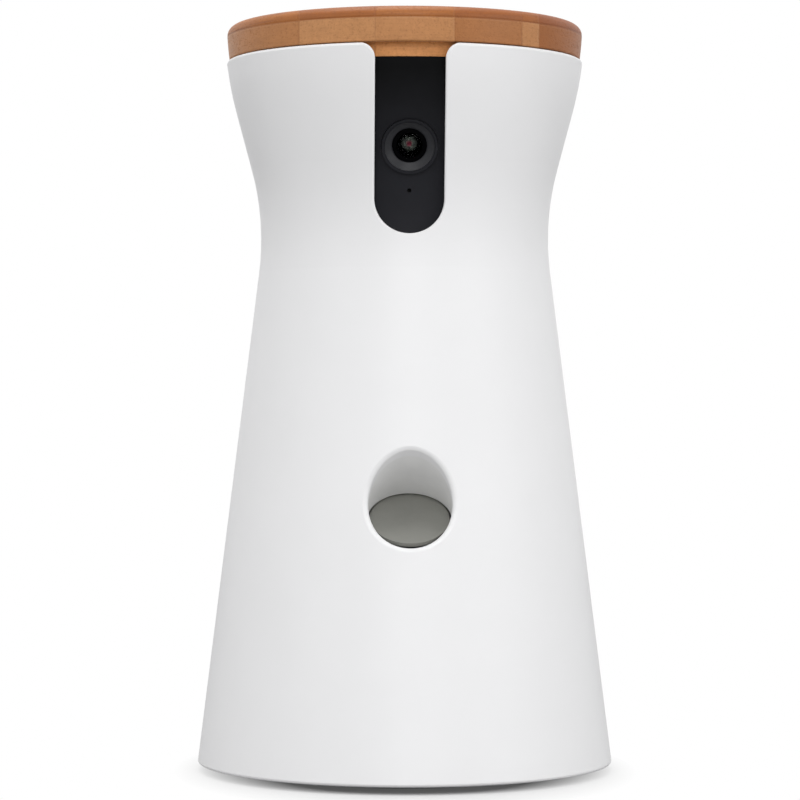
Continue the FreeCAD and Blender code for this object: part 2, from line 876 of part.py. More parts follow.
def treat_hopper():
    """Deck under the lid and the funnel below it, from an oval mouth to the round wheel chamber."""
    low, high = "(shield_z + shield_thick)", "deck_z"

    def funnel(grow, drop, rise):
        throat = doc.addObject("Part::Ellipse", "throat")
        bind(throat, MajorRadius=f"chamber_bore + {grow}", MinorRadius=f"chamber_bore + {grow} - 0.01")
        place(throat, "0", "wheel_y", f"{low} - {drop}")
        mouth = doc.addObject("Part::Ellipse", "mouth")
        bind(mouth, MajorRadius=f"hopper_half + {grow}", MinorRadius=f"hopper_depth + {grow}")
        place(mouth, "0", "hopper_y", f"{high} + {rise}")
        loft = doc.addObject("Part::Loft", "funnel")
        loft.Sections = [throat, mouth]
        loft.Solid = True
        loft.Ruled = True
        return loft

    deck = flat_oval("deck_half", "deck_z", "deck_z + deck_thick")
    notch = box(("-panel_half - 1", "panel_half + 1"), ("-70", "-51"), ("deck_z - 1", "deck_z + 3"))
    holes = [rod("frame_hole", "4", x, y, "deck_z - 1") for x, y in DECK_SCREW_SPOTS]
    body = cut(fuse(funnel("2", "0", "1"), deck), funnel("0", "0.01", "deck_thick + 0.01"), notch, *holes)
    node(body, "treat_hopper")
    for x, y in DECK_SCREW_SPOTS:
        frame_screws.append(screw(*FRAME_SCREW, x, y, "deck_z + deck_thick", ALONG_DOWN))


FEED_Y = "(wheel_y + wheel_module * (wheel_teeth + pinion_teeth) / 2 + gear_gap)"
DROP_Y = "(wheel_y - pocket_ring)"


def wheel_chamber():
    """Round chamber of the treat wheel, its floor with the drop hole, and the feed motor's ear."""
    outer = rod("chamber_bore + chamber_wall", "shield_z - chamber_z", "0", "wheel_y", "chamber_z")
    ear = box(("-10", "10"), ("30", "50"), ("chamber_z", "chamber_z + floor_thick"))
    bore = rod("chamber_bore", "40", "0", "wheel_y", "chamber_z + floor_thick")
    drop = rod("chute_radius", "10", "0", DROP_Y, "chamber_z - 5")
    bush = rod("wheel_bush", "10", "0", "wheel_y", "chamber_z - 5")
    window = box(("-8", "8"), ("30", "50"), ("chamber_z + floor_thick", "wheel_z + 6.5"))
    shaft = rod("feed_collar + 0.2", "10", "0", FEED_Y, "chamber_z - 5")
    node(cut(fuse(outer, ear), bore, drop, bush, window, shaft), "wheel_chamber")
    flange = turned(
        "bush",
        [
            ("wheel_pin + shaft_gap", "-2"),
            ("wheel_bush + 1", "-2"),
            ("wheel_bush + 1", "0"),
            ("wheel_bush", "0"),
            ("wheel_bush", "floor_thick"),
            ("wheel_pin + shaft_gap", "floor_thick"),
        ],
    )
    node(place(flange, "0", "wheel_y", "chamber_z"), "wheel_bush")
    disc = tube("chamber_bore + chamber_wall", "8.5", "shield_thick", "0", "wheel_y", "shield_z")
    opening = rod("chamber_bore", "4", "0", "wheel_y", "shield_z - 1")
    cover = box(("-14", "14"), (f"{DROP_Y} - 16", "wheel_y - 5"), ("shield_z - 2", "shield_z + 4"))
    node(cut(disc, cut(opening, cover)), "wiper_shield")


def treat_wheel():
    """Six-pocket wheel with its toothed ring, agitator and shaft."""
    body = new_body("wheel")
    sketch = new_sketch(body)
    ring(sketch, "wheel_radius - 3")
    pad(body, sketch, "wheel_height")
    rim = new_sketch(body, "XY_Plane", "wheel_face + face_step")
    ring(rim, "wheel_radius")
    pad(body, rim, "wheel_height - wheel_face - face_step")
    doc.recompute()
    bore = new_sketch(body)
    ring(bore, "wheel_pin")
    pocket(body, bore)
    hole = new_sketch(body)
    ring(hole, "pocket_radius", "0", "-pocket_ring")
    first = pocket(body, hole)
    pattern = body.newObject("PartDesign::PolarPattern", "pockets")
    pattern.Originals = [first]
    pattern.Axis = (hole, ["N_Axis"])
    pattern.Angle = 360
    bind(pattern, Occurrences="pocket_count")
    body.Tip = pattern
    node(place(body, "0", "wheel_y", "wheel_z"), "treat_wheel")
    teeth = gear("wheel_gear", "wheel_module", "wheel_teeth", "wheel_face", "wheel_radius - 3")
    node(place(teeth, "0", "wheel_y", "wheel_z", LENGTHWISE), "wheel_gear")
    hub = turned(
        "hub",
        [
            ("wheel_pin", "0"),
            ("7", "0"),
            ("7", "6"),
            ("4.5", "14"),
            ("0", "15.5"),
            ("0", "3"),
            ("wheel_pin", "3"),
        ],
    )
    place(hub, "0", "wheel_y", "wheel_z + wheel_height")
    fins = []
    for index in range(3):
        fin = doc.addObject("Part::Box", "fin")
        bind(fin, Length="14", Width="2.4", Height="5.5")
        spin = Rotation(Vector(0, 0, 1), 90 + 120 * index)
        shift = spin.multVec(Vector(5, -1.2, 0))
        place(fin, str(shift.x), f"wheel_y + ({shift.y})", "wheel_z + wheel_height + 3.4", spin)
        fins.append(fin)
    node(fuse(hub, *fins), "agitator")
    shaft = rod("wheel_pin", "wheel_z + wheel_height + 8 - chamber_z", "0", "wheel_y", "chamber_z - 5")
    node(shaft, "wheel_shaft")


def feed_drive():
    """Feed motor under the ear, and the pinion on its shaft that turns the wheel."""
    motor = turned(
        "motor",
        [
            ("0", "-27"),
            ("feed_motor_radius - 0.8", "-27"),
            ("feed_motor_radius", "-26.2", "0.8", -1),
            ("feed_motor_radius", "-9"),
            ("feed_motor_radius - 0.5", "-8.5"),
            ("feed_motor_radius - 0.5", "0"),
            ("feed_collar", "0"),
            ("feed_collar", "floor_thick"),
            ("feed_pin + shaft_gap", "floor_thick"),
            ("feed_pin + shaft_gap", "-3"),
            ("0", "-3"),
        ],
    )
    node(place(motor, "0", FEED_Y, "chamber_z"), "feed_motor")
    shaft = rod("feed_pin", "11", "0", FEED_Y, "chamber_z - 2.8")
    pinion = gear("pinion", "wheel_module", "pinion_teeth", "wheel_face + face_step", "0")
    turn = Rotation(Vector(0, 0, 1), value("-90 + 180 / pinion_teeth"))
    node(fuse(place(pinion, "0", FEED_Y, "wheel_z - face_step / 2", turn), shaft), "feed_pinion")


def drop_chute():
    """Slanted chute from the wheel chamber's drop hole to the space above the cocked paddle."""

    def slide(radius, over):
        head = doc.addObject("Part::Circle", "head")
        bind(head, Radius=f"chute_radius + {radius}")
        place(head, "0", DROP_Y, f"chamber_z + {over}")
        foot = doc.addObject("Part::Circle", "foot")
        bind(foot, Radius=f"chute_radius + {radius}")
        place(foot, "0", "chute_foot_y", f"chute_foot_z - {over}")
        loft = doc.addObject("Part::Loft", "slide")
        loft.Sections = [head, foot]
        loft.Solid = True
        loft.Ruled = True
        return loft

    clear = rod("6", "4", "0", "wheel_y", "chamber_z - 3")
    node(cut(slide("1.5", "0"), slide("0", "0.01"), clear), "drop_chute")
    low, high = "plate_top", "chute_foot_z"
    back = box(("-guard_half", "guard_half"), ("guard_back_y - guard_wall", "guard_back_y"), (low, high))
    sides = []
    for ends in (("-guard_half", "-guard_half + guard_wall"), ("guard_half - guard_wall", "guard_half")):
        sides.append(box(ends, ("guard_front_y", "guard_back_y"), (low, high)))
    node(fuse(back, *sides), "catch_guard")


# ---------------------------------------------------------------- launching mechanism


def on_pivot(body):
    """Turns a piece drawn in the paddle's own frame to its rest angle at the pivot."""
    return place(body, "0", "pivot_y", "pivot_z", about_x("paddle_rest"))


def launch_tube():
    """Inclined tube from the treat hole to the paddle, cut to the casing's inside and to the paddle."""
    walls = cut(tube_rod("tube_radius + tube_wall", "40", "10"), tube_rod("tube_radius", "42", "12"))
    body = new_body("below")
    sketch = new_sketch(body, "YZ_Plane", "-30")
    low, high = "-60", "paddle_height + 0.5"
    outline(sketch, [("-60", low), ("60", low), ("60", high), ("-60", high)])
    pad(body, sketch, "60")
    node(cut(common(walls, hourglass_core("wall", "20", "150")), on_pivot(body)), "launch_tube")


def rib(side):
    """One of the two arms that join the paddle's plate to its hub, with the stop tail."""
    body = new_body("rib")
    start = "rib_x" if side == "1" else "-rib_x - rib_thick"
    under = "paddle_height - paddle_thick + 0.2"
    tail = "(tail_angle - paddle_rest)"
    web = new_sketch(body, "YZ_Plane", start)
    outline(
        web,
        [
            ("hub_radius", under),
            ("-3.2", "1"),
            ("0", "-hub_radius"),
            ("hub_radius", "0"),
            ("paddle_reach + 6", under),
        ],
    )
    pad(body, web, "rib_thick")
    leg = new_sketch(body, "YZ_Plane", start)
    reach = "13"
    half = "1.25"

    def beside(along, across):
        y = f"({along}) * cos({tail}) - ({across}) * sin({tail})"
        z = f"({along}) * sin({tail}) + ({across}) * cos({tail})"
        return (y, z)

    ends = [("0", f"-{half}"), (reach, f"-{half}"), (reach, half), ("0", half)]
    outline(leg, [beside(along, across) for along, across in ends])
    pad(body, leg, "rib_thick")
    return on_pivot(body)


def paddle():
    """Tossing paddle: an oval plate on two ribs, with their hub and stop tails, and its shaft."""
    tilt = about_x("paddle_rest")
    low = "(paddle_height - paddle_thick)"
    edge = doc.addObject("Part::Ellipse", "edge")
    bind(edge, MajorRadius="paddle_length", MinorRadius="paddle_half")
    y = f"pivot_y + paddle_reach * cos(paddle_rest) - {low} * sin(paddle_rest)"
    z = f"pivot_z + paddle_reach * sin(paddle_rest) + {low} * cos(paddle_rest)"
    place(edge, "0", y, z, tilt.multiply(LENGTHWISE))
    plate = doc.addObject("Part::Extrusion", "plate")
    plate.Base = edge
    plate.DirMode = "Custom"
    plate.Dir = tilt.multVec(Vector(0, 0, 1))
    plate.Solid = True
    bind(plate, LengthFwd="paddle_thick")
    hub = rod("hub_radius", "18", "-9", "pivot_y", "pivot_z", ALONG_X)
    bore = rod("paddle_pin", "40", "-20", "pivot_y", "pivot_z", ALONG_X)
    node(cut(fuse(plate, hub, rib("-1"), rib("1")), bore), "tossing_paddle")
    node(rod("paddle_pin", "35", "-17.5", "pivot_y", "pivot_z", ALONG_X), "paddle_shaft")


TOSS_REACH = "(toss_module * toss_teeth + gear_gap)"
TOSS_Y = f"(pivot_y + {TOSS_REACH} * cos(toss_line))"
TOSS_Z = f"(pivot_z + {TOSS_REACH} * sin(toss_line))"
MOTOR_Y = f"({TOSS_Y} + drive_module * (drive_teeth + pinion_teeth) / 2 + gear_gap)"
MOTOR_SCREW_HEIGHTS = [f"{TOSS_Z} + {side} * motor_screw_z" for side in SIGNS]
EAR_SPOTS = [(f"{side} * (plate_x - ear_inset)", y) for side in SIGNS for y in ("front_ear_y", "back_ear_y")]


def wedge(radius, sweep, length):
    """A slice of a disc."""
    solid = doc.addObject("Part::Cylinder", "wedge")
    bind(solid, Radius=radius, Height=length, Angle=sweep)
    return solid


def partial_gear(name, y, z, direction, start, sweep, disc, bore):
    """A gear about X that keeps its teeth only over one slice, with a plain disc inside them."""
    teeth = gear(name, "toss_module", "toss_teeth", "toss_face", "0")
    place(teeth, "-toss_face / 2", y, z, face_x(direction))
    segment = wedge("toss_module * toss_teeth", sweep, "toss_face")
    place(segment, "-toss_face / 2", y, z, face_x(start))
    kept = common(teeth, segment)
    plain = rod(disc, "toss_face", "-toss_face / 2", y, z, ALONG_X)
    hole = rod(bore, "toss_face + 2", "-toss_face / 2 - 1", y, z, ALONG_X)
    return cut(fuse(kept, plain), hole)


def toss_gears():
    """Toothed sector on the paddle's shaft, the partial gear that cocks it, and its shaft."""
    step = "360 / toss_teeth"
    sector = partial_gear(
        "sector", "pivot_y", "pivot_z", "toss_line", f"toss_line - {step}", f"5 * {step}", "5", "hub_radius"
    )
    node(sector, "paddle_sector")
    back = f"(toss_line + 180 + {step} / 2)"
    partial = partial_gear(
        "partial",
        TOSS_Y,
        TOSS_Z,
        back,
        f"toss_line + 180 - 3.5 * {step}",
        f"4 * {step}",
        "toss_module * (toss_teeth / 2 - 1.6)",
        "toss_pin",
    )
    node(partial, "toss_gear")
    node(rod("toss_pin", "40", "-17.5", TOSS_Y, TOSS_Z, ALONG_X), "toss_shaft")
    drive = gear("drive_gear", "drive_module", "drive_teeth", "drive_face", "toss_pin")
    node(place(drive, "drive_x", TOSS_Y, TOSS_Z, face_x("0")), "drive_gear")
    pinion = gear("pinion", "drive_module", "pinion_teeth", "drive_face", "0")
    turn = face_x("180 + 180 / pinion_teeth")
    shaft = rod("motor_pin", "11.5", "plate_x - 2.8", MOTOR_Y, TOSS_Z, ALONG_X)
    node(fuse(place(pinion, "drive_x", MOTOR_Y, TOSS_Z, turn), shaft), "toss_pinion")


def toss_motor():
    """Gear motor between the side plates, and the two screws that hold it."""
    motor = turned(
        "motor",
        [
            ("0", "-25.5"),
            ("motor_radius - 1", "-25.5"),
            ("motor_radius", "-24.5", "1", -1),
            ("motor_radius", "-10"),
            ("motor_radius - 0.6", "-9.4"),
            ("motor_radius - 0.6", "0"),
            ("motor_collar", "0"),
            ("motor_collar", "plate_thick + 0.8"),
            ("motor_pin + shaft_gap", "plate_thick + 0.8"),
            ("motor_pin + shaft_gap", "-3"),
            ("0", "-3"),
        ],
    )
    holes = [rod("small_screw", "6", "plate_x - 5", MOTOR_Y, z, ALONG_X) for z in MOTOR_SCREW_HEIGHTS]
    node(cut(place(motor, "plate_x", MOTOR_Y, TOSS_Z, ALONG_X), *holes), "toss_motor")
    inwards = Rotation(Vector(0, 1, 0), -90)
    for z in MOTOR_SCREW_HEIGHTS:
        small_screws.append(screw(*SMALL_SCREW, "plate_x + plate_thick", MOTOR_Y, z, inwards))


def side_plates():
    """The two plates that carry both shafts, the motor, the stops and the catch guard."""
    for side, name in (("-1", "left"), ("1", "right")):
        body = new_body("side_plate")
        start = "plate_x" if side == "1" else "-plate_x - plate_thick"
        sketch = new_sketch(body, "YZ_Plane", start)
        outline(
            sketch,
            [
                ("-46", BASE_TOP),
                ("8", BASE_TOP),
                ("8", "38"),
                ("6", "58"),
                ("-22", "plate_top"),
                ("-58.4", "plate_top"),
                ("-59.4", "54"),
                ("-54", "40"),
            ],
        )
        ring(sketch, "paddle_bush", "pivot_y", "pivot_z")
        ring(sketch, "toss_bush", TOSS_Y, TOSS_Z)
        ring(sketch, "9", "-26", "17")
        if side == "1":
            ring(sketch, "motor_collar + 0.1", MOTOR_Y, TOSS_Z)
            for z in MOTOR_SCREW_HEIGHTS:
                ring(sketch, "small_hole", MOTOR_Y, z)
        pad(body, sketch, "plate_thick")
        low = "plate_x - 7.5" if side == "1" else "-plate_x - 0.5"
        high = "plate_x + 0.5" if side == "1" else "-plate_x + 7.5"
        ears = []
        for y in ("front_ear_y", "back_ear_y"):
            ears.append(box((low, high), (f"{y} - 4.5", f"{y} + 4.5"), (BASE_TOP, f"{BASE_TOP} + ear_thick")))
        holes = [rod("frame_hole", "4", x, y, f"{BASE_TOP} - 0.5") for x, y in EAR_SPOTS]
        node(cut(fuse(body, *ears), *holes), f"{name}_side_plate")
    for x, y in EAR_SPOTS:
        frame_screws.append(screw(*FRAME_SCREW, x, y, f"{BASE_TOP} + ear_thick", ALONG_DOWN))


def bushes_and_stops():
    """Bushes of both shafts, stop pins with rubber bumpers, return spring and limit switch."""

    def pair(outer, inner, y, z):
        starts = ("-plate_x - plate_thick", "plate_x")
        return group(*[tube(outer, inner, "plate_thick", x, y, z, ALONG_X) for x in starts])

    node(pair("paddle_bush", "paddle_pin + shaft_gap", "pivot_y", "pivot_z"), "paddle_bushes")
    node(pair("toss_bush", "toss_pin + shaft_gap", TOSS_Y, TOSS_Z), "toss_bushes")
    y = "(pivot_y + stop_distance * cos(stop_angle))"
    z = "(pivot_z + stop_distance * sin(stop_angle))"
    starts = ("-plate_x", "plate_x - stop_pin_length")
    pins = [rod("stop_pin", "stop_pin_length", x, y, z, ALONG_X) for x in starts]
    node(group(*pins), "stop_pins")
    starts = ("-plate_x + stop_pin_length - bumper_length", "plate_x - stop_pin_length")
    sleeves = [tube("bumper_radius", "stop_pin", "bumper_length", x, y, z, ALONG_X) for x in starts]
    node(group(*sleeves), "rubber_bumpers")
    spring = coil("spring", "2.7", "0.4", "1.0", "3.2", "9.7", "pivot_y", "pivot_z", ALONG_X)
    node(spring, "return_spring")
    low = "(-plate_x - plate_thick)"
    switch = box((f"{low} - 5.6", low), ("-20", "-7"), ("26", "34"))
    lever = box((f"{low} - 3.6", f"{low} - 2"), ("-21", "-8"), ("34", "35.2"))
    node(fuse(switch, lever), "limit_switch")


# ---------------------------------------------------------------- base and electronics


POWER_Z = "(socket_z - 3.3)"
POWER_SCREW_SPOTS = [(f"{side} * power_screw_x", "power_screw_y") for side in SIGNS]
BOARD_SCREW_SPOTS = [f"{side} * board_screw_x" for side in SIGNS]


def base():
    """Base plate with its posts, the light ring, the rubber ring and the casing screws."""
    plate = flat_oval("base_half", "base_z", BASE_TOP)
    posts = []
    for side in SIGNS:
        low, high = ("-28", "-22") if side == "-1" else ("22", "28")
        posts.append(box((low, high), ("board_y - 6", "board_y"), (f"{BASE_TOP} - 0.5", "board_screw_z + 6")))
    sunk = f"({BASE_TOP} - 0.5)"
    for x, y in POWER_SCREW_SPOTS:
        posts.append(tube("2.4", "small_screw", f"{POWER_Z} - {sunk}", x, y, sunk))
    collar = tube("speaker_radius + 1.8", "speaker_radius + 0.1", "3.5", "speaker_x", "0", sunk)
    bridge = cut(
        box(("button_x - 8", "button_x + 8"), ("button_y - 3", "button_y + 3"), (sunk, "14")),
        box(("button_x - 5.2", "button_x + 5.2"), ("button_y - 5", "button_y + 5"), (BASE_TOP, "11.5")),
    )
    groove = cut(
        flat_oval("ring_half + 0.1", "0.2", "base_z + 0.6"),
        flat_oval("ring_half - ring_width - 0.1", "0", "2"),
    )
    holes = []
    for x, y in BASE_SCREW_SPOTS:
        holes.append(rod("base_screw + 0.15", "8", x, y, "0"))
        holes.append(rod("2.9", "2", x, y, "base_z - 0.5"))
    for row in range(5):
        y = f"{row - 2} * 4.6 - 0.9"
        reach = "8.5" if row in (1, 2, 3) else "5.5"
        across = (f"speaker_x - {reach}", f"speaker_x + {reach}")
        holes.append(box(across, (y, f"{y} + 1.8"), ("0", "6")))
    holes.append(rod("button_radius + 0.3", "8", "button_x", "button_y", "0"))
    for x, y in EAR_SPOTS:
        holes.append(rod("frame_screw", "2.9", x, y, f"{BASE_TOP} - 2.8"))
    for x in BOARD_SCREW_SPOTS:
        holes.append(rod("small_screw", "6", x, "board_y - 5.5", "board_screw_z", ALONG_BACK))
    node(cut(fuse(plate, *posts, collar, bridge), groove, *holes), "base_plate")
    node(oval_ring("light_half", "base_half + 0.3", "1.5", "5.5"), "light_ring")
    node(oval_ring("ring_half", "ring_half - ring_width", "0", "base_z + 0.6"), "rubber_ring")
    screws = [screw("base_screw", "2.6", "9", x, y, "base_z + 1.5") for x, y in BASE_SCREW_SPOTS]
    node(group(*screws), "base_screws")


def reset_button():
    """Sprung reset button in the underside: the cap, its spring and the switch above it."""
    cap = turned(
        "cap",
        [
            ("0", "0.6"),
            ("button_radius - 0.4", "0.6"),
            ("button_radius", "1.0", "0.4", -1),
            ("button_radius", f"{BASE_TOP} + 0.1"),
            ("button_radius + 1.4", f"{BASE_TOP} + 0.1"),
            ("button_radius + 1.4", f"{BASE_TOP} + 1.1"),
            ("1.2", f"{BASE_TOP} + 1.1"),
            ("1.2", "8.3"),
            ("0", "8.3"),
        ],
    )
    node(place(cap, "button_x", "button_y", "0"), "reset_button")
    spring = coil("spring", "2.2", "0.2", "1.0", "4.2", "button_x", "button_y", f"{BASE_TOP} + 1.4")
    node(spring, "reset_spring")
    switch = fuse(
        box(("button_x - 3", "button_x + 3"), ("button_y - 3", "button_y + 3"), ("10.1", "11.5")),
        rod("1", "0.7", "button_x", "button_y", "9.5"),
    )
    node(switch, "reset_switch")


def speaker():
    """Speaker facing down onto the slots of the base plate: basket, magnet and cone."""
    basket = turned(
        "basket",
        [
            ("speaker_radius - 3", "0"),
            ("speaker_radius", "0"),
            ("speaker_radius", "2.2"),
            ("speaker_radius - 1", "2.2"),
            ("9.5", "6"),
            ("9.5", "11.5"),
            ("0", "11.5"),
            ("0", "3.5"),
            ("2.5", "3.1"),
            ("4", "5.2"),
            ("7", "5.2"),
            ("speaker_radius - 3", "1.2"),
        ],
    )
    place(basket, "speaker_x", "0", BASE_TOP)
    cone = turned(
        "cone",
        [
            ("0", "3.4"),
            ("3.5", "2.8"),
            ("speaker_radius - 2.9", "0.3"),
            ("speaker_radius - 2.9", "0.8"),
            ("3.5", "3.3"),
            ("0", "3.9"),
        ],
    )
    node(fuse(basket, place(cone, "speaker_x", "0", BASE_TOP)), "speaker")


def boards():
    """Main board with its chips, and the power board with the cable socket at the back."""
    front, back = "board_y", "board_y + board_thick"
    board = box(("-board_half", "board_half"), (front, back), ("board_foot", "board_top"))
    holes = [rod("small_hole", "6", x, "board_y - 2", "board_screw_z", ALONG_BACK) for x in BOARD_SCREW_SPOTS]
    node(cut(board, *holes), "main_board")
    for x in BOARD_SCREW_SPOTS:
        small_screws.append(screw(*SMALL_SCREW, x, back, "board_screw_z", ALONG_FRONT))
    processor = box(("-7", "7"), ("board_y - 1.4", front), ("60", "74"))
    radio = box(("-24", "-10"), (back, f"{back} + 2.6"), ("64", "84"))
    can_spots = (("14", "44"), ("22", "44"), ("14", "35"))
    cans = [rod("3.2", "8", x, back, z, ALONG_BACK) for x, z in can_spots]
    plugs = []
    for low, high, z in (("10", "20", "80"), ("-20", "-12", "48"), ("12", "20", "60")):
        plugs.append(box((low, high), ("board_y - 4.4", front), (z, f"{z} + 4")))
    node(group(processor, radio, *cans, *plugs), "board_components")
    plate = box(("-14", "14"), ("52", "67.4"), (POWER_Z, f"{POWER_Z} + power_thick"))
    eyes = [rod("small_hole", "4", x, y, f"{POWER_Z} - 1") for x, y in POWER_SCREW_SPOTS]
    node(cut(plate, *eyes), "power_board")
    for x, y in POWER_SCREW_SPOTS:
        small_screws.append(screw(*SMALL_SCREW, x, y, f"{POWER_Z} + power_thick", ALONG_DOWN))
    low, high = "(socket_z - 1.9)", "(socket_z + 1.9)"
    case = box(("-4.6", "4.6"), ("62", "69.8"), (low, high))
    bore = box(("-4.2", "4.2"), ("63", "71"), (f"{low} + 0.4", f"{high} - 0.4"))
    tongue = box(("-3.2", "3.2"), ("62.5", "68.8"), ("socket_z - 0.4", "socket_z + 0.4"))
    node(fuse(cut(case, bore), tongue), "power_socket")


# ---------------------------------------------------------------- internal cable


def round_cable(points):
    """A cable's centre line of straight runs joined by tangent arcs, swept with a round section."""
    radius, bend = value("cable_radius"), value("cable_bend")
    spots = [Vector(*[value(number) for number in point]) for point in points]
    edges = []
    start = spots[0]
    for index in range(1, len(spots) - 1):
        corner = spots[index]
        to_back = (spots[index - 1] - corner).normalize()
        to_next = (spots[index + 1] - corner).normalize()
        half_turn = (math.pi - to_back.getAngle(to_next)) / 2
        shorter = min((spots[index - 1] - corner).Length, (spots[index + 1] - corner).Length)
        reach = min(bend * math.tan(half_turn), 0.45 * shorter)
        arc_radius = reach / math.tan(half_turn)
        first, last = corner + to_back * reach, corner + to_next * reach
        inward = (to_back + to_next).normalize()
        middle = corner + inward * (arc_radius / math.cos(half_turn) - arc_radius)
        edges.append(Part.LineSegment(start, first).toShape())
        edges.append(Part.Arc(first, middle, last).toShape())
        start = last
    edges.append(Part.LineSegment(start, spots[-1]).toShape())
    path = Part.Wire(edges)
    section = Part.Wire([Part.makeCircle(radius, spots[0], spots[1] - spots[0])])
    return path.makePipeShell([section], True, False)


def camera_cable():
    """Cable from the camera board down beside the wheel chamber to the main board."""
    route = [
        ("9", "-37.5", "184.4"),
        ("9", "-32.7", "185.6"),
        ("14", "-31.4", "176"),
        ("26", "-27", "166"),
        ("35.5", "-10", "155"),
        ("37.4", "4", "140"),
        ("37", "14", "122"),
        ("31", "24", "108"),
        ("20", "31.8", "100"),
        ("15", "31.8", "92"),
        ("15", "31.8", "84"),
    ]
    cable = doc.addObject("Part::Feature", "cable")
    cable.Shape = round_cable(route)
    node(cable, "camera_cable")


# ---------------------------------------------------------------- checks and files


def check():
    """Stops if any object failed or any piece is empty or invalid."""
    doc.recompute()
    for thing in doc.Objects:
        if "Invalid" in thing.State or "Error" in thing.State:
            raise SystemExit(f"{thing.Label} failed: {thing.State}")
    for piece in nodes:
        if piece.Shape.isNull() or not piece.Shape.isValid() or not piece.Shape.Solids:
            raise SystemExit(f"{piece.Label} has no valid solid")


def export():
    os.makedirs("parts", exist_ok=True)
    for piece in nodes:
        piece.Shape.exportStep(f"parts/{piece.Label}.step")
        print(f"{piece.Label}: {len(piece.Shape.Solids)} solids, {piece.Shape.Volume:.0f} mm3")
    print(len(nodes), "pieces")


outer_shell()
lid()
camera_panel()
camera_optics()
camera_electronics()
treat_hopper()
wheel_chamber()
treat_wheel()
feed_drive()
drop_chute()
launch_tube()
paddle()
toss_gears()
toss_motor()
side_plates()
bushes_and_stops()
base()
reset_button()
speaker()
boards()
camera_cable()
node(group(*frame_screws), "frame_screws")
node(group(*small_screws), "small_screws")
check()
export()
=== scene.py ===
import math

import bmesh
import bpy
from mathutils import Matrix, Vector


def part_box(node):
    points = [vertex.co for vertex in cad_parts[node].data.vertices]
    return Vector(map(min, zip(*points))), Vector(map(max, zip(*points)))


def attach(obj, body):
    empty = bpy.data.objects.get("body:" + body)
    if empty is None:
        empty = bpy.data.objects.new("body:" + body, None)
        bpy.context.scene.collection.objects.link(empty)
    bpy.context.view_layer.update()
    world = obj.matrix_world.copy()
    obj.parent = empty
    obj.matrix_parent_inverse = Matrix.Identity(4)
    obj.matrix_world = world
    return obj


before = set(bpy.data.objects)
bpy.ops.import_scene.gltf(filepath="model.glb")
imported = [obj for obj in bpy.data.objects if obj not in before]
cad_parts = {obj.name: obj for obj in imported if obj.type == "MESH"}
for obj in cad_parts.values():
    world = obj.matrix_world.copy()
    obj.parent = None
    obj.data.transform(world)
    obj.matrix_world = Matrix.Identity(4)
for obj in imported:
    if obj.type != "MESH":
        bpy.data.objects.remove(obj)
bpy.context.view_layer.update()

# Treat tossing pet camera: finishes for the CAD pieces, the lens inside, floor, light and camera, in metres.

MM = 0.001


# ---------------------------------------------------------------- driving values


# lens axis: where it meets the black panel's face, and how far it leans
LENS_FACE = Vector((0.0, -53.29, 183.5)) * MM
LENS_TILT = math.radians(17.96)
# inner lens: its radius, the depth of its middle behind the panel's face, how much deeper its edge lies,
# the depth of its flat back, and the number of steps along its curve and round it
IRIS_RADIUS = 2.55 * MM
IRIS_DEPTH = 3.6 * MM
IRIS_BULGE = 0.75 * MM
IRIS_BACK = 7.0 * MM
IRIS_STEPS = 10
LATHE_TURNS = 72
# painted reflections on the inner lens: each spot fades between two radii
PAINTED_PALE_REFLECTION = (1.2 * MM, 2.5 * MM)
PAINTED_RED_REFLECTION = (0.4 * MM, 1.1 * MM)

# bamboo lid: left edge of each strip in mm, height of the joint between the plies, half a glue line
STRIP_EDGES = (-62.0, -31.8, -10.1, 12.5, 32.4, 37.6)
PLY_JOIN = 219.6 * MM
GLUE_HALF = 0.16 * MM
# how far the glue lines wander, and the size of each kind of figure across, along and down the lid
WANDER = 0.35 * MM
WANDER_SIZE = (6 * MM, 40 * MM, 2.5 * MM)
SPECKLE_SIZE = (0.55 * MM, 14 * MM, 0.55 * MM)
STREAK_SIZE = (1.1 * MM, 45 * MM, 1.6 * MM)
LAYER_SIZE = (16 * MM, 16 * MM, 0.5 * MM)
CLOUD_SIZE = (9 * MM, 30 * MM, 5 * MM)
# how strongly each darkens the wood
SPECKLE_SHARE = 0.30
STREAK_SHARE = 0.16
GLUE_SHARE = 0.16
# where each strip lies between its ply's deep and pale tones, from left to right
LOWER_SHARES = (0.6, 1.0, 0.85, 0.35, 0.8, 0.0)
UPPER_SHARES = (1.0, 0.5, 0.85, 0.35, 0.5, 0.0)

# black panel, with a painted reflection and painted shade: palest up to this height above its foot, darkest
# from this far below its top
PANEL_PAINTED_REFLECTION_FOOT = 26 * MM
PANEL_PAINTED_SHADE_TOP = 3 * MM
# speaker: width of the basket's rim round the cone
BASKET_RIM = 3 * MM

# camera: level, a little left of the front, with a long lens
VIEW_TURN = math.radians(-1.5)
VIEW_DISTANCE = 1.076
VIEW_HEIGHT = 0.1108
VIEW_ASIDE = 0.00136
VIEW_LENS = 160.5
SENSOR = 36.0
CLIP_NEAR = 0.05
CLIP_FAR = 50.0

# light: power in watts, side of the square in metres, place
FRONT_LIGHT = (7.55, 0.9, (0.0, -1.35, 0.8))
LEFT_LIGHT = (2.1, 0.9, (-1.1, -0.55, 0.55))
RIGHT_LIGHT = (4.0, 0.9, (1.1, -0.55, 0.5))
TOP_LIGHT = (9.0, 0.9, (-0.1, 0.1, 1.35))
# strength of the even light from all round, and of the plain white behind the object
SKY = 0.5
BACKDROP = 1.0

# floor: how far under the object it lies, half its side in metres, how pale it is for light and
# reflections, how pale for the camera, and the size of its faint patches
FLOOR_DROP = 0.2 * MM
FLOOR_HALF = 6.0
FLOOR_ALBEDO = 0.45
FLOOR_GAIN = 0.66
FLOOR_PATCH = 50 * MM
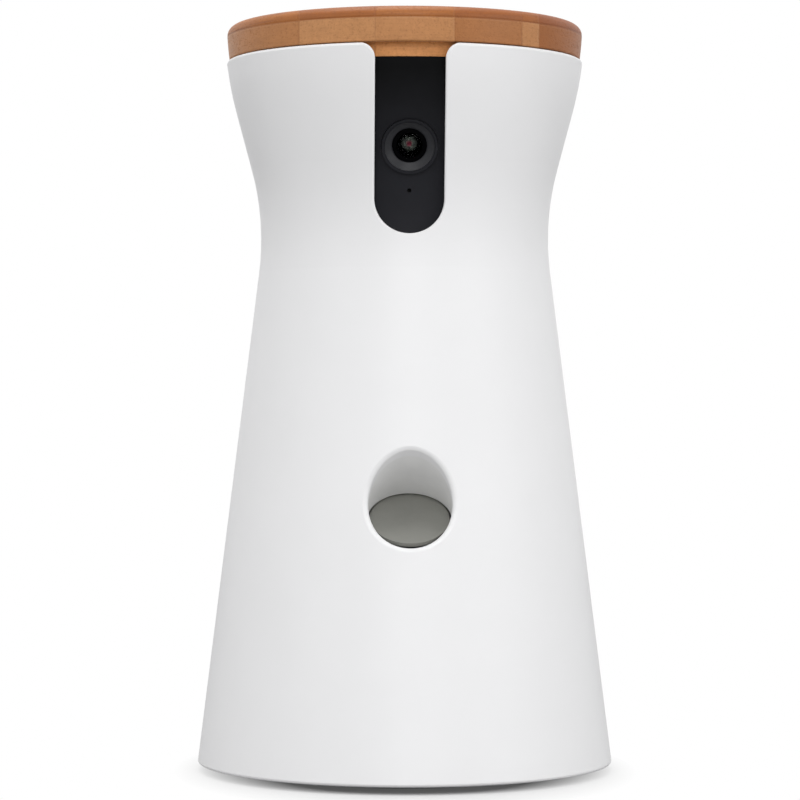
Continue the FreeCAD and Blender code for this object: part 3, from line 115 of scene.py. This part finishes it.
# the camera's floor turns to plain white between these distances, counted stretched along X and Y
SHADE_STRETCH = (1.15, 0.7, 0.0)
SHADE_NEAR = 0.05
SHADE_FAR = 0.08
SHADE_LIFT = 0.08


# ---------------------------------------------------------------- materials


def srgb(red, green, blue):
    """Linear colour with full alpha, from the 8-bit values that it shows as."""
    steps = [part / 255 for part in (red, green, blue)]
    linear = [step / 12.92 if step <= 0.04045 else ((step + 0.055) / 1.055) ** 2.4 for step in steps]
    return (*linear, 1.0)


def scaled(color, factor):
    """The same colour, lighter or darker."""
    return (*[min(1.0, part * factor) for part in color[:3]], 1.0)


class Paint:
    """A Principled material with detail from textures in the piece's own space, in metres."""

    def __init__(self, name, color, rough, **sockets):
        self.material = bpy.data.materials.get(name) or bpy.data.materials.new(name)
        self.material.use_nodes = True
        self.material.diffuse_color = color
        self.tree = self.material.node_tree
        self.tree.nodes.clear()
        self.shader = self.node("ShaderNodeBsdfPrincipled")
        output = self.node("ShaderNodeOutputMaterial")
        self.tree.links.new(self.shader.outputs["BSDF"], output.inputs["Surface"])
        self.place = self.node("ShaderNodeTexCoord").outputs["Object"]
        self.set("Base Color", color)
        self.set("Roughness", rough)
        for socket, setting in sockets.items():
            self.set(socket.replace("_", " "), setting)

    def node(self, kind, **settings):
        made = self.tree.nodes.new(kind)
        for key, setting in settings.items():
            setattr(made, key, setting)
        return made

    def feed(self, socket, source):
        """Gives an input a link or a plain value."""
        if isinstance(source, bpy.types.NodeSocket):
            self.tree.links.new(source, socket)
        else:
            socket.default_value = source

    def set(self, name, source):
        self.feed(self.shader.inputs[name], source)

    def spread(self, size):
        """Object coordinates counted in features of that size along X, Y and Z."""
        sizes = size if isinstance(size, tuple) else (size, size, size)
        made = self.node("ShaderNodeVectorMath", operation="DIVIDE")
        self.feed(made.inputs[0], self.place)
        made.inputs[1].default_value = sizes
        return made.outputs[0]

    def noise(self, size, detail=2.0, harsh=0.5):
        made = self.node("ShaderNodeTexNoise")
        self.feed(made.inputs["Vector"], self.spread(size))
        made.inputs["Scale"].default_value = 1.0
        made.inputs["Detail"].default_value = detail
        made.inputs["Roughness"].default_value = harsh
        return made.outputs[0]

    def cells(self, size):
        made = self.node("ShaderNodeTexVoronoi")
        self.feed(made.inputs["Vector"], self.spread(size))
        made.inputs["Scale"].default_value = 1.0
        return made.outputs["Distance"]

    def calc(self, operation, *values):
        made = self.node("ShaderNodeMath", operation=operation)
        for socket, number in zip(made.inputs, values):
            self.feed(socket, number)
        return made.outputs[0]

    def ranged(self, source, low, high, start=0.0, stop=1.0):
        """A value between low and high, as one between start and stop."""
        made = self.node("ShaderNodeMapRange")
        for socket, number in zip(made.inputs, (source, low, high, start, stop)):
            self.feed(socket, number)
        return made.outputs[0]

    def axis(self, letter):
        made = self.node("ShaderNodeSeparateXYZ")
        self.feed(made.inputs[0], self.place)
        return made.outputs[letter]

    def far_from(self, point, factors=(1.0, 1.0, 1.0)):
        """Distance from a point, with a factor on the part of it along each of X, Y and Z."""
        offset = self.node("ShaderNodeVectorMath", operation="SUBTRACT")
        self.feed(offset.inputs[0], self.place)
        offset.inputs[1].default_value = point
        kept = self.node("ShaderNodeVectorMath", operation="MULTIPLY")
        self.feed(kept.inputs[0], offset.outputs[0])
        kept.inputs[1].default_value = factors
        length = self.node("ShaderNodeVectorMath", operation="LENGTH")
        self.feed(length.inputs[0], kept.outputs[0])
        return length.outputs["Value"]

    def blend(self, factor, first, second, mode="MIX"):
        made = self.node("ShaderNodeMix", data_type="RGBA", blend_type=mode)
        self.feed(made.inputs["Factor"], factor)
        self.feed(made.inputs[6], first)
        self.feed(made.inputs[7], second)
        return made.outputs[2]

    def bump(self, height, depth):
        """Adds relief of that depth, over any relief from before."""
        made = self.node("ShaderNodeBump")
        made.inputs["Strength"].default_value = 1.0
        made.inputs["Distance"].default_value = depth
        self.feed(made.inputs["Height"], height)
        normal = self.shader.inputs["Normal"]
        if normal.is_linked:
            self.feed(made.inputs["Normal"], normal.links[0].from_socket)
        self.feed(normal, made.outputs[0])

    def uneven(self, size, start, stop, detail=2.0):
        """A value that wanders between two others over patches of that size."""
        return self.ranged(self.noise(size, detail), 0.3, 0.7, start, stop)

    def mottled(self, color, size, share):
        """A colour that wanders by a share of itself over patches of that size."""
        patches = self.uneven(size, 0.0, 1.0, 3.0)
        return self.blend(patches, scaled(color, 1 - share), scaled(color, 1 + share))


def moulded(name, color, rough, grain=0.45 * MM, relief=0.006 * MM, share=0.03, **sockets):
    """Moulded plastic or rubber: faint flow patches, uneven gloss and a fine grain."""
    paint = Paint(name, color, rough, **sockets)
    paint.set("Base Color", paint.mottled(color, 7 * MM, share))
    paint.set("Roughness", paint.uneven(2.5 * MM, rough - 0.05, rough + 0.05))
    paint.bump(paint.noise(grain, 2.0), relief)
    return paint


def metal(name, color, rough, brush, relief=0.002 * MM, **sockets):
    """Metal with brush marks, long along the direction in which the brush size is large."""
    paint = Paint(name, color, rough, Metallic=1.0, **sockets)
    marks = paint.noise(brush, 4.0, 0.6)
    paint.set("Base Color", paint.blend(marks, scaled(color, 0.86), scaled(color, 1.1)))
    paint.set("Roughness", paint.ranged(marks, 0.25, 0.75, rough - 0.08, rough + 0.1))
    paint.bump(marks, relief)


# carbonised bamboo: each ply's deepest and palest strip, the plug, and the dark of fibres and glue
LOWER_TONES = (srgb(158, 95, 44), srgb(198, 141, 91))
UPPER_TONES = (srgb(145, 78, 29), srgb(168, 101, 41))
BAMBOO_PLUG = srgb(212, 145, 83)
BAMBOO_DARK = srgb(112, 62, 32)


def strips(tones, shares):
    """Colours of the strips from left to right, by how far each is from the deep to the pale tone."""
    deep, pale = tones
    return [tuple(a + (b - a) * share for a, b in zip(deep, pale)) for share in shares]


def bamboo(name, tones, layers):
    """Bamboo of glued strips that run front to back. Layers is the share of streaks that lie flat."""
    paint = Paint(name, tones[0], 0.5, Specular_IOR_Level=0.35)
    across = paint.axis("X")
    low, high = STRIP_EDGES[0] * MM, -STRIP_EDGES[0] * MM
    wander = paint.ranged(paint.noise(WANDER_SIZE), 0.0, 1.0, -WANDER, WANDER)
    ramp = paint.node("ShaderNodeValToRGB")
    ramp.color_ramp.interpolation = "CONSTANT"
    stops = ramp.color_ramp.elements
    while len(stops) < len(tones):
        stops.new(0.5)
    for stop, edge, tone in zip(stops, STRIP_EDGES, tones):
        stop.position = (edge * MM - low) / (high - low)
        stop.color = tone
    paint.feed(ramp.inputs[0], paint.ranged(across, low, high))
    strip_tone = ramp.outputs[0]
    # fibre bundles: speckle on the cut front edge, long streaks on the top
    speckle = paint.ranged(paint.noise(SPECKLE_SIZE, 3.0, 0.6), 0.52, 0.72)
    streaks = paint.ranged(paint.noise(STREAK_SIZE, 4.0, 0.6), 0.35, 0.75)
    flat = paint.ranged(paint.noise(LAYER_SIZE, 3.0, 0.6), 0.42, 0.75)
    clouds = paint.uneven(CLOUD_SIZE, 0.96, 1.04)
    color = paint.blend(paint.calc("MULTIPLY", speckle, SPECKLE_SHARE), strip_tone, BAMBOO_DARK)
    color = paint.blend(paint.calc("MULTIPLY", streaks, STREAK_SHARE), color, BAMBOO_DARK)
    color = paint.blend(paint.calc("MULTIPLY", flat, layers), color, BAMBOO_DARK)
    tint = paint.node("ShaderNodeCombineColor")
    for socket in tint.inputs[:3]:
        paint.feed(socket, clouds)
    color = paint.blend(1.0, color, tint.outputs[0], "MULTIPLY")
    # glue lines between the strips, and between the plies
    lines = None
    for edge in STRIP_EDGES[1:]:
        near = paint.calc("ABSOLUTE", paint.calc("SUBTRACT", paint.calc("ADD", across, wander), edge * MM))
        line = paint.ranged(near, GLUE_HALF, 2 * GLUE_HALF, 1.0, 0.0)
        lines = line if lines is None else paint.calc("MAXIMUM", lines, line)
    height = paint.axis("Z")
    join = paint.calc("ABSOLUTE", paint.calc("SUBTRACT", height, PLY_JOIN))
    lines = paint.calc("MAXIMUM", lines, paint.ranged(join, GLUE_HALF, 3 * GLUE_HALF, 1.0, 0.0))
    color = paint.blend(paint.calc("MULTIPLY", lines, GLUE_SHARE), color, BAMBOO_DARK)
    paint.set("Base Color", color)
    paint.set("Roughness", paint.ranged(speckle, 0.0, 1.0, 0.44, 0.6))
    paint.bump(paint.calc("SUBTRACT", 1.0, speckle), 0.03 * MM)
    paint.bump(paint.calc("SUBTRACT", 1.0, lines), 0.05 * MM)


def shell_white():
    """Satin white plastic with a fine spark-eroded grain and barely uneven gloss."""
    white = (0.86, 0.86, 0.868, 1.0)
    paint = Paint("shell_white", white, 0.42, Specular_IOR_Level=0.35)
    paint.set("Base Color", paint.mottled(white, 22 * MM, 0.008))
    paint.set("Roughness", paint.uneven(5 * MM, 0.38, 0.47, 3.0))
    paint.bump(paint.noise(0.5 * MM, 2.0), 0.005 * MM)
    paint.bump(paint.noise(24 * MM, 1.0), 0.03 * MM)


def circuit_board():
    """Green solder mask with tracks that show paler through it, and tinned pads."""
    green = (0.02, 0.13, 0.055, 1.0)
    paint = Paint("circuit_board", green, 0.32, Coat_Weight=0.4, Coat_Roughness=0.2)
    tracks = paint.node("ShaderNodeTexBrick", offset=0.35, squash=0.6, squash_frequency=3)
    flat = paint.node("ShaderNodeCombineXYZ")
    paint.feed(flat.inputs["X"], paint.axis("X"))
    paint.feed(flat.inputs["Y"], paint.calc("ADD", paint.axis("Y"), paint.axis("Z")))
    paint.feed(tracks.inputs["Vector"], flat.outputs[0])
    for socket, number in {
        "Scale": 1.0,
        "Mortar Size": 0.16 * MM,
        "Mortar Smooth": 0.1,
        "Brick Width": 6.5 * MM,
        "Row Height": 1.3 * MM,
    }.items():
        tracks.inputs[socket].default_value = number
    lines = tracks.outputs["Fac"]
    pads = paint.ranged(paint.cells(3.4 * MM), 0.10, 0.14, 1.0, 0.0)
    color = paint.blend(lines, green, scaled(green, 1.9))
    color = paint.blend(pads, color, (0.62, 0.6, 0.55, 1.0))
    paint.set("Base Color", color)
    paint.set("Metallic", pads)
    paint.bump(lines, 0.02 * MM)
    paint.bump(paint.noise(0.6 * MM), 0.004 * MM)


def speaker_black():
    """Pressed basket with a pulped paper cone inside it."""
    low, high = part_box("speaker")
    centre = (low + high) / 2
    inner = (high.x - low.x) / 2 - BASKET_RIM
    black = (0.02, 0.02, 0.021, 1.0)
    paint = Paint("speaker_black", black, 0.5)
    radius = paint.far_from(centre, (1.0, 1.0, 0.0))
    cone = paint.ranged(radius, inner, inner + 0.3 * MM, 1.0, 0.0)
    fibre = paint.noise((0.4 * MM, 0.4 * MM, 2 * MM), 4.0, 0.7)
    paper = paint.blend(fibre, (0.028, 0.027, 0.026, 1.0), (0.075, 0.072, 0.068, 1.0))
    paint.set("Base Color", paint.blend(cone, black, paper))
    paint.set("Roughness", paint.ranged(cone, 0.0, 1.0, 0.42, 0.88))
    paint.bump(fibre, 0.03 * MM)


def panel_black():
    """Satin black panel with a bluish cast; a painted reflection makes it a little paler towards its foot,
    and painted shade makes it darker towards its top.
    """
    low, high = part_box("camera_panel")
    deep, pale = (0.0022, 0.0023, 0.0027, 1.0), (0.0165, 0.0168, 0.0202, 1.0)
    paint = Paint("panel_black", deep, 0.38, Specular_IOR_Level=0.09)
    # painted reflection near the foot and painted shade near the top: the base colour runs from pale to deep
    # with height
    painted_reflection_and_shade = paint.ranged(paint.axis("Z"), low.z + PANEL_PAINTED_REFLECTION_FOOT, high.z - PANEL_PAINTED_SHADE_TOP, 1.0, 0.0)
    cloudy = paint.ranged(paint.noise(6 * MM), 0.2, 0.8, -0.06, 0.06)
    paint.set("Base Color", paint.blend(paint.calc("ADD", painted_reflection_and_shade, cloudy), deep, pale))
    paint.set("Roughness", paint.uneven(2.5 * MM, 0.34, 0.42))
    paint.bump(paint.noise(0.4 * MM), 0.002 * MM)


def lens_glass():
    """Coated front lens: clear, with hardly any reflection of its own."""
    paint = Paint("lens_glass", (0.93, 0.95, 0.96, 1.0), 0.01, Transmission_Weight=1.0, IOR=1.08)
    paint.set("Roughness", paint.uneven(1.5 * MM, 0.0, 0.012))


def iris_glass():
    """Inner lens: a soft painted grey-green reflection round a painted dark red reflection at its centre."""
    paint = Paint("iris_glass", (0.01, 0.01, 0.01, 1.0), 0.35, Specular_IOR_Level=0.05)
    along = Vector((0.0, math.cos(LENS_TILT), math.sin(LENS_TILT)))
    radius = paint.far_from(LENS_FACE + along * IRIS_DEPTH)
    smear = paint.ranged(paint.noise(0.7 * MM, 2.0), 0.2, 0.8, -0.15 * MM, 0.15 * MM)
    radius = paint.calc("ADD", radius, smear)
    # painted reflections in the base colour: a grey-green ring, and a dark red spot in the middle
    painted_pale_mask = paint.ranged(radius, *PAINTED_PALE_REFLECTION, 1.0, 0.0)
    painted_red_mask = paint.ranged(radius, *PAINTED_RED_REFLECTION, 1.0, 0.0)
    color = paint.blend(painted_pale_mask, (0.001, 0.0015, 0.0012, 1.0), (0.085, 0.092, 0.078, 1.0))
    color = paint.blend(painted_red_mask, color, (0.12, 0.014, 0.027, 1.0))
    paint.set("Base Color", color)
    return paint.material


def light_guide():
    """Frosted light guide round the foot, a little clouded."""
    clear = (0.86, 0.88, 0.9, 1.0)
    paint = moulded("light_guide", clear, 0.4, share=0.02, Transmission_Weight=0.25, IOR=1.49)
    paint.bump(paint.noise(1.2 * MM, 3.0), 0.012 * MM)


def sintered_bronze():
    """Sintered bronze with dark pores and uneven gloss."""
    color = (0.5, 0.33, 0.15, 1.0)
    paint = Paint("bronze", color, 0.42, Metallic=1.0)
    pores = paint.ranged(paint.cells(0.35 * MM), 0.1, 0.35)
    paint.set("Base Color", paint.blend(pores, scaled(color, 0.35), color))
    paint.set("Roughness", paint.uneven(1.5 * MM, 0.34, 0.52))
    paint.bump(pores, 0.02 * MM)


def components():
    """Black moulded chips with faint metallic specks."""
    black = (0.025, 0.025, 0.027, 1.0)
    paint = moulded("component_black", black, 0.5, grain=0.3 * MM, relief=0.008 * MM, share=0.12)
    specks = paint.ranged(paint.cells(1.1 * MM), 0.05, 0.09, 0.12, 0.0)
    paint.set("Specular IOR Level", 0.4)
    paint.set("Metallic", specks)


shell_white()
bamboo("bamboo_lower", strips(LOWER_TONES, LOWER_SHARES), layers=0.12)
bamboo("bamboo_upper", strips(UPPER_TONES, UPPER_SHARES), layers=0.45)
bamboo("bamboo_plug", (BAMBOO_PLUG,) * len(STRIP_EDGES), layers=0.22)
moulded("silicone", (0.7, 0.7, 0.68, 1.0), 0.5, Subsurface_Weight=0.3, Subsurface_Scale=0.002)
moulded("rubber_black", (0.035, 0.035, 0.036, 1.0), 0.78, grain=0.6 * MM, relief=0.02 * MM, share=0.1)
panel_black()
moulded("ring_grey", (0.024, 0.0245, 0.028, 1.0), 0.4, grain=0.25 * MM, share=0.06, Specular_IOR_Level=0.22)
moulded("lens_black", (0.0012, 0.0012, 0.0015, 1.0), 0.5, grain=0.3 * MM, share=0.1, Specular_IOR_Level=0.01)
lens_glass()
circuit_board()
components()
metal("steel", (0.56, 0.56, 0.57, 1.0), 0.3, (0.4 * MM, 0.4 * MM, 3 * MM))
moulded("hopper_white", (0.76, 0.76, 0.745, 1.0), 0.4)
moulded("tube_grey", (0.82, 0.82, 0.815, 1.0), 0.45)
moulded("paddle_grey", (0.21, 0.21, 0.19, 1.0), 0.5, grain=0.8 * MM, relief=0.012 * MM)
moulded("gear_white", (0.76, 0.75, 0.7, 1.0), 0.42, Subsurface_Weight=0.15, Subsurface_Scale=0.001)
moulded("wheel_grey", (0.62, 0.64, 0.65, 1.0), 0.42)
metal("motor_metal", (0.52, 0.52, 0.53, 1.0), 0.32, (0.5 * MM, 4 * MM, 0.5 * MM))
moulded("frame_grey", (0.22, 0.22, 0.23, 1.0), 0.55, grain=0.7 * MM, relief=0.015 * MM, share=0.06)
sintered_bronze()
light_guide()
moulded("button_grey", (0.14, 0.14, 0.14, 1.0), 0.5, share=0.06)
speaker_black()
moulded("cable_black", (0.02, 0.02, 0.021, 1.0), 0.5, grain=1.2 * MM, relief=0.03 * MM, share=0.12)

# the lid's three wooden pieces share one material in the CAD, and each gets a finish of its own here
for node, finish in {
    "lid_lower_ply": "bamboo_lower",
    "lid_upper_ply": "bamboo_upper",
    "lid_plug": "bamboo_plug",
}.items():
    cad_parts[node].material_slots[0].material = bpy.data.materials[finish]


# ---------------------------------------------------------------- pieces of the scene


def lathe(name, profile, material):
    """A closed piece of revolution about the lens axis, from (radius, depth behind the panel) points."""
    mesh = bmesh.new()
    rings = []
    for radius, depth in profile:
        if radius == 0:
            rings.append([mesh.verts.new((0, 0, depth))])
            continue
        angles = [2 * math.pi * turn / LATHE_TURNS for turn in range(LATHE_TURNS)]
        rings.append([mesh.verts.new((radius * math.cos(a), radius * math.sin(a), depth)) for a in angles])
    for first, second in zip(rings, rings[1:]):
        for turn in range(LATHE_TURNS):
            following = (turn + 1) % LATHE_TURNS
            corners = []
            for corner in (
                first[turn % len(first)],
                first[following % len(first)],
                second[following % len(second)],
                second[turn % len(second)],
            ):
                if corner not in corners:
                    corners.append(corner)
            mesh.faces.new(corners)
    bmesh.ops.recalc_face_normals(mesh, faces=mesh.faces)
    inwards = Matrix.Rotation(LENS_TILT - math.pi / 2, 4, "X")
    bmesh.ops.transform(mesh, matrix=Matrix.Translation(LENS_FACE) @ inwards, verts=mesh.verts)
    data = bpy.data.meshes.new(name)
    mesh.to_mesh(data)
    mesh.free()
    data.polygons.foreach_set("use_smooth", [True] * len(data.polygons))
    data.materials.append(material)
    piece = bpy.data.objects.new(name, data)
    bpy.context.scene.collection.objects.link(piece)
    return piece


def inner_lens():
    """Rounded lens element at the back of the barrel's mouth."""
    profile = []
    for step in range(IRIS_STEPS + 1):
        share = step / IRIS_STEPS
        profile.append((IRIS_RADIUS * share, IRIS_DEPTH + IRIS_BULGE * share**2))
    profile += [(IRIS_RADIUS, IRIS_BACK), (0, IRIS_BACK)]
    piece = lathe("inner_lens", profile, iris_glass())
    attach(piece, "base")


inner_lens()


# ---------------------------------------------------------------- floor, light and camera


def floor():
    """Pale floor that shows white away from the object and keeps its contact shadow."""
    mesh = bmesh.new()
    corners = [(-FLOOR_HALF, -FLOOR_HALF), (FLOOR_HALF, -FLOOR_HALF)]
    corners += [(FLOOR_HALF, FLOOR_HALF), (-FLOOR_HALF, FLOOR_HALF)]
    mesh.faces.new([mesh.verts.new((x, y, -FLOOR_DROP)) for x, y in corners])
    data = bpy.data.meshes.new("floor")
    mesh.to_mesh(data)
    mesh.free()
    piece = bpy.data.objects.new("floor", data)
    bpy.context.scene.collection.objects.link(piece)
    grey = (FLOOR_ALBEDO, FLOOR_ALBEDO, FLOOR_ALBEDO, 1.0)
    paint = Paint("floor", grey, 0.9, Specular_IOR_Level=0.0)
    paint.set("Base Color", paint.mottled(grey, FLOOR_PATCH, 0.01))
    output = next(node for node in paint.tree.nodes if node.type == "OUTPUT_MATERIAL")
    # what the camera sees: the lit floor near the object, plain white further out
    bright = paint.node("ShaderNodeBsdfDiffuse")
    bright.inputs["Color"].default_value = (FLOOR_GAIN, FLOOR_GAIN, FLOOR_GAIN, 1.0)
    white = paint.node("ShaderNodeEmission")
    white.inputs["Color"].default_value = (1.0, 1.0, 1.0, 1.0)
    white.inputs["Strength"].default_value = BACKDROP
    distance = paint.far_from((0, 0, 0), SHADE_STRETCH)
    away = paint.ranged(distance, SHADE_NEAR, SHADE_FAR, SHADE_LIFT, 1.0)
    seen = paint.node("ShaderNodeMixShader")
    paint.feed(seen.inputs[0], away)
    paint.feed(seen.inputs[1], bright.outputs[0])
    paint.feed(seen.inputs[2], white.outputs[0])
    choice = paint.node("ShaderNodeMixShader")
    paint.feed(choice.inputs[0], paint.node("ShaderNodeLightPath").outputs["Is Camera Ray"])
    paint.feed(choice.inputs[1], paint.shader.outputs[0])
    paint.feed(choice.inputs[2], seen.outputs[0])
    paint.feed(output.inputs["Surface"], choice.outputs[0])
    data.materials.append(paint.material)


def area_light(name, watts, side, place):
    """A square light that points at the middle of the object."""
    data = bpy.data.lights.new(name, "AREA")
    data.energy = watts
    data.size = side
    lamp = bpy.data.objects.new(name, data)
    lamp.location = place
    middle = Vector((0.0, 0.0, VIEW_HEIGHT))
    lamp.rotation_euler = (middle - lamp.location).to_track_quat("-Z", "Y").to_euler()
    bpy.context.scene.collection.objects.link(lamp)


def sky():
    """Even light from all round, and a white backdrop for the camera, gloss and glass."""
    world = bpy.data.worlds.new("studio")
    bpy.context.scene.world = world
    world.use_nodes = True
    tree = world.node_tree
    tree.nodes.clear()
    plain = tree.nodes.new("ShaderNodeBackground")
    plain.inputs["Color"].default_value = (1.0, 1.0, 1.0, 1.0)
    plain.inputs["Strength"].default_value = SKY
    white = tree.nodes.new("ShaderNodeBackground")
    white.inputs["Color"].default_value = (1.0, 1.0, 1.0, 1.0)
    white.inputs["Strength"].default_value = BACKDROP
    path = tree.nodes.new("ShaderNodeLightPath")
    seen = path.outputs["Is Camera Ray"]
    for ray in ("Is Glossy Ray", "Is Transmission Ray"):
        either = tree.nodes.new("ShaderNodeMath")
        either.operation = "MAXIMUM"
        tree.links.new(seen, either.inputs[0])
        tree.links.new(path.outputs[ray], either.inputs[1])
        seen = either.outputs[0]
    choice = tree.nodes.new("ShaderNodeMixShader")
    output = tree.nodes.new("ShaderNodeOutputWorld")
    tree.links.new(seen, choice.inputs[0])
    tree.links.new(plain.outputs[0], choice.inputs[1])
    tree.links.new(white.outputs[0], choice.inputs[2])
    tree.links.new(choice.outputs[0], output.inputs["Surface"])


def camera():
    """The photograph's camera."""
    data = bpy.data.cameras.new("camera")
    data.sensor_width = SENSOR
    data.lens = VIEW_LENS
    data.clip_start = CLIP_NEAR
    data.clip_end = CLIP_FAR
    eye = bpy.data.objects.new("camera", data)
    right = Vector((math.cos(VIEW_TURN), math.sin(VIEW_TURN), 0))
    back = Vector((math.sin(VIEW_TURN), -math.cos(VIEW_TURN), 0))
    eye.location = back * VIEW_DISTANCE + Vector((0, 0, VIEW_HEIGHT)) - right * VIEW_ASIDE
    eye.rotation_euler = (math.pi / 2, 0, VIEW_TURN)
    bpy.context.scene.collection.objects.link(eye)
    bpy.context.scene.camera = eye


floor()
area_light("front_light", *FRONT_LIGHT)
area_light("left_light", *LEFT_LIGHT)
area_light("right_light", *RIGHT_LIGHT)
area_light("top_light", *TOP_LIGHT)
sky()
camera()
bpy.context.scene.view_settings.view_transform = "Standard"
